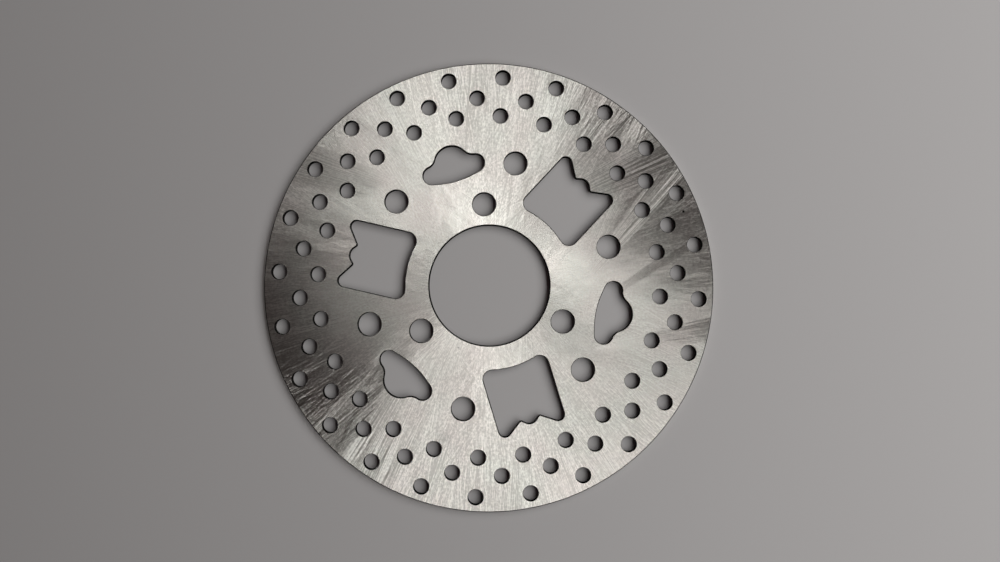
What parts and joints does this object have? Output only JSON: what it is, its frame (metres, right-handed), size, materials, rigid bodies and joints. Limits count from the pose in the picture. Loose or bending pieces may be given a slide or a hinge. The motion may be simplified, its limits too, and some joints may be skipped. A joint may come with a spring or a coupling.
{
  "type": "brake disc rotor",
  "caption": "Flat one-piece motorcycle brake disc with a hub bore, bolt holes, rings of vent holes and shaped windows.",
  "frame": {"origin": "on the disc's spin axis, in the plane of the hub-side face", "axes": "+Z along the spin axis, away from the wheel hub; +Y through one hole of the inner bolt circle"},
  "size_m": [0.22, 0.22, 0.0035],
  "materials": {
    "ground_stainless": "machine-ground, with fine crossing scratches and a faint warm tint"
  },
  "bodies": {
    "root": {"brake_disc": "ground_stainless"}
  },
  "joints": []
}
